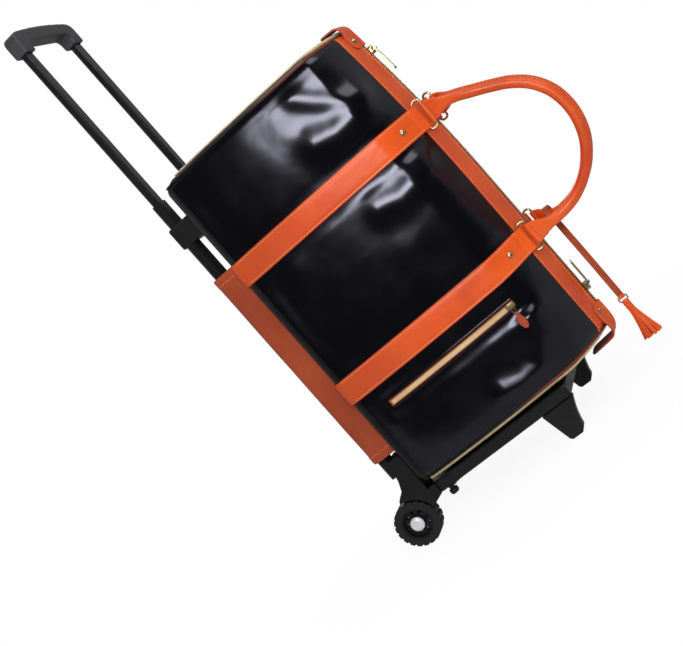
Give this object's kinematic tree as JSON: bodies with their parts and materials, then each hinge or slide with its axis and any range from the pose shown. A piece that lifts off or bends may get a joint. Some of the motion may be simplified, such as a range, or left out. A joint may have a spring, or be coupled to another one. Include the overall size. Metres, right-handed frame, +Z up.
{
  "type": "wheeled leather holdall with a telescopic trolley handle",
  "caption": "Upright leather holdall with zipped ridge, carry handles and a tassel, on a telescopic trolley frame with wheels and stand feet.",
  "frame": {"origin": "on the ground, below the middle of the object's outline", "axes": "+X towards the far side across the bag's width, +Y backwards from the bag to the trolley tubes, +Z up along the tubes; the carry handles point to -Y"},
  "size_m": [0.2514, 0.5344, 0.8805],
  "materials": {
    "black_leather": "glossy, lightly creased",
    "orange_leather": "smooth semi-gloss with painted edges",
    "gold_metal": "polished",
    "black_plastic": "moulded, satin",
    "painted_steel": "satin black",
    "grip_rubber": "fine-grained soft grip",
    "tyre_rubber": "moulded tread",
    "grey_steel": "satin"
  },
  "bodies": {
    "case": {"axle_far": "grey_steel", "axle_near": "grey_steel", "base_board": "black_leather", "base_frame": "black_plastic", "far_ridge_zip": "gold_metal", "far_ring_lower": "gold_metal", "far_ring_upper": "gold_metal", "far_side_panel": "black_leather", "far_strap_lower": "orange_leather", "far_strap_upper": "orange_leather", "far_top_band": "orange_leather", "foot_far": "black_plastic", "foot_near": "black_plastic", "frame_bolt_far": "black_plastic", "frame_bolt_near": "black_plastic", "handle_end_panel": "black_leather", "handle_end_zip": "gold_metal", "outer_tube_far": "painted_steel", "outer_tube_near": "painted_steel", "tube_collar": "black_plastic", "tube_cover": "orange_leather", "wheel_end_panel": "black_leather", "wheel_end_zip": "gold_metal", "wheel_housing_far": "black_plastic", "wheel_housing_near": "black_plastic"},
    "near_panel": {"near_side_panel": "black_leather", "near_top_band": "orange_leather", "near_ridge_zip": "gold_metal", "pocket_welt": "orange_leather", "pocket_zip": "gold_metal", "near_strap_upper": "orange_leather", "near_strap_lower": "orange_leather", "near_ring_upper": "gold_metal", "near_ring_lower": "gold_metal"},
    "near_handle": {"near_carry_handle": "orange_leather"},
    "far_handle": {"far_carry_handle": "orange_leather"},
    "pocket_slider": {"pocket_slider": "gold_metal"},
    "pocket_pull": {"pocket_pull": "orange_leather"},
    "ridge_slider_upper": {"ridge_slider_upper": "gold_metal"},
    "ridge_pull_upper": {"ridge_pull_upper": "gold_metal"},
    "ridge_slider_lower": {"ridge_slider_lower": "gold_metal"},
    "ridge_pull_lower": {"ridge_pull_lower": "gold_metal"},
    "handle_end_tab": {"handle_end_tab": "orange_leather"},
    "wheel_end_tab": {"wheel_end_tab": "orange_leather"},
    "tassel_strap": {"tassel_strap": "orange_leather"},
    "tassel": {"tassel": "orange_leather"},
    "trolley": {"grip": "grip_rubber", "inner_rod_near": "painted_steel", "inner_rod_far": "painted_steel"},
    "release_button": {"release_button": "black_plastic"},
    "wheel_near": {"tyre_near": "tyre_rubber", "rim_near": "black_plastic"},
    "wheel_far": {"tyre_far": "tyre_rubber", "rim_far": "black_plastic"}
  },
  "joints": [
    {"name": "near_panel_hinge", "type": "hinge", "parent": "case", "child": "near_panel", "pos_m": [-0.12, 0.17675, 0.07], "axis": [0, 0, 1], "range_deg": [-100, 0]},
    {"name": "near_handle_hinge", "type": "hinge", "parent": "near_panel", "child": "near_handle", "pos_m": [-0.04209, -0.12616, 0.4365], "axis": [0, 0, 1], "range_deg": [-75, 0]},
    {"name": "far_handle_hinge", "type": "hinge", "parent": "case", "child": "far_handle", "pos_m": [0.04209, -0.12616, 0.4365], "axis": [0, 0, 1], "range_deg": [0, 60]},
    {"name": "ridge_slider_upper_run", "type": "hinge", "parent": "case", "child": "ridge_slider_upper", "pos_m": [0, 1.87775, 0.333], "axis": [1, 0, 0], "range_deg": [0, 4.7]},
    {"name": "ridge_slider_lower_run", "type": "slide", "parent": "case", "child": "ridge_slider_lower", "axis": [0, 0, 1], "range_m": [0, 0.15]},
    {"name": "ridge_pull_upper_hinge", "type": "hinge", "parent": "ridge_slider_upper", "child": "ridge_pull_upper", "pos_m": [0, -0.11955, 0.5439], "axis": [1, 0, 0], "range_deg": [-90, 0]},
    {"name": "ridge_pull_lower_hinge", "type": "hinge", "parent": "ridge_slider_lower", "child": "ridge_pull_lower", "pos_m": [0, -0.13065, 0.13], "axis": [1, 0, 0], "range_deg": [0, 90]},
    {"name": "pocket_slider_run", "type": "hinge", "parent": "near_panel", "child": "pocket_slider", "pos_m": [0.66614, 0.11403, 0.184], "axis": [0, 0, 1], "range_deg": [-13.2, 0]},
    {"name": "pocket_pull_hinge", "type": "hinge", "parent": "pocket_slider", "child": "pocket_pull", "pos_m": [-0.11327, -0.05832, 0.184], "axis": [-0.9764, -0.2159, 0], "range_deg": [-80, 80]},
    {"name": "handle_end_tab_fold", "type": "hinge", "parent": "near_panel", "child": "handle_end_tab", "pos_m": [-0.027, -0.10444, 0.567], "axis": [0, 0, 1], "range_deg": [-110, 0]},
    {"name": "wheel_end_tab_fold", "type": "hinge", "parent": "near_panel", "child": "wheel_end_tab", "pos_m": [-0.027, -0.11645, 0.093], "axis": [0, 0, 1], "range_deg": [-30, 0]},
    {"name": "tassel_strap_swing", "type": "hinge", "parent": "far_handle", "child": "tassel_strap", "pos_m": [0.027, -0.14625, 0.227], "axis": [0, 1, 0], "range_deg": [-10, 30]},
    {"name": "tassel_swing", "type": "hinge", "parent": "tassel_strap", "child": "tassel", "pos_m": [0.027, -0.14625, 0.0825], "axis": [0, 1, 0], "range_deg": [-20, 20]},
    {"name": "trolley_slide", "type": "slide", "parent": "case", "child": "trolley", "axis": [0, 0, 1], "range_m": [-0.25, 0]},
    {"name": "release_button_press", "type": "slide", "parent": "trolley", "child": "release_button", "axis": [0, 0, -1], "range_m": [0, 0.003], "stiffness_N_per_m": 300, "springref_m": -0.002},
    {"name": "wheel_near_spin", "type": "hinge", "parent": "case", "child": "wheel_near", "pos_m": [-0.1, 0.23475, 0.0325], "axis": [1, 0, 0], "continuous": true},
    {"name": "wheel_far_spin", "type": "hinge", "parent": "case", "child": "wheel_far", "pos_m": [0.1, 0.23475, 0.0325], "axis": [1, 0, 0], "continuous": true}
  ]
}
